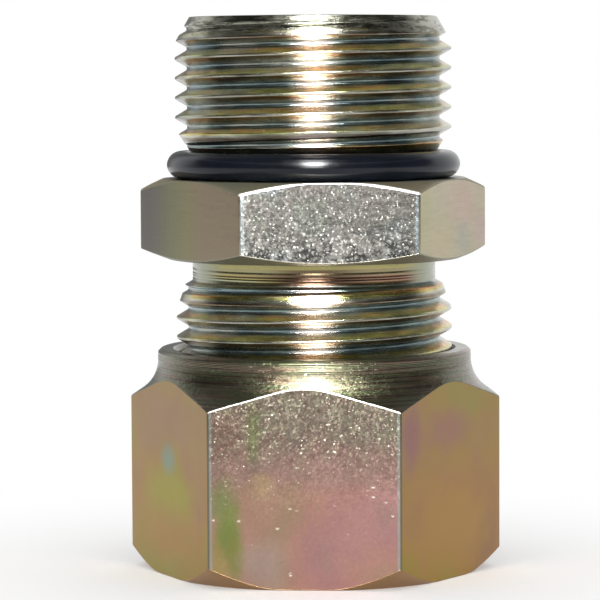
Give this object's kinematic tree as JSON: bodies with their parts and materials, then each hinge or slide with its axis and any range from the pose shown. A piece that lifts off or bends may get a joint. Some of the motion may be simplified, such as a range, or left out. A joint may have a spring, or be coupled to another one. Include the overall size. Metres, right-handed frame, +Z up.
{
  "type": "tube connector",
  "caption": "Straight tube connector: hexagon body with an O-ring sealed port thread, and a union nut that drives a cutting ring onto the tube.",
  "frame": {"origin": "middle of the nut's lower face, where the tube enters", "axes": "+Z up the fitting, from the tube end to the port end; +Y away from the front flats"},
  "size_m": [0.0402, 0.0362, 0.0598],
  "materials": {
    "zinc_body": "bright zinc plate with a yellow, rainbow-tinted passivation over fine turning marks",
    "zinc_nut": "bright zinc plate with a yellow, pink and green tinted passivation on milled flats",
    "ring_steel": "zinc-plated hardened steel, turned smooth",
    "rubber": "smooth black nitrile rubber, slightly glossy"
  },
  "bodies": {
    "fitting_body": {"body": "zinc_body", "o_ring": "rubber"},
    "loose_ring": {"cutting_ring": "ring_steel"},
    "union_nut": {"nut": "zinc_nut"}
  },
  "joints": [
    {"name": "ring_slide", "type": "slide", "parent": "fitting_body", "child": "loose_ring", "axis": [0, 0, 1], "range_m": [-0.01058, 0]},
    {"name": "nut_turn", "type": "hinge", "parent": "loose_ring", "child": "union_nut", "pos_m": [0, 0, 0], "axis": [0, 0, 1], "range_deg": [-1800, 0]}
  ],
  "couplings": [
    {"joint": "ring_slide", "follows": "nut_turn", "m_per_rad": 0.00033688}
  ]
}
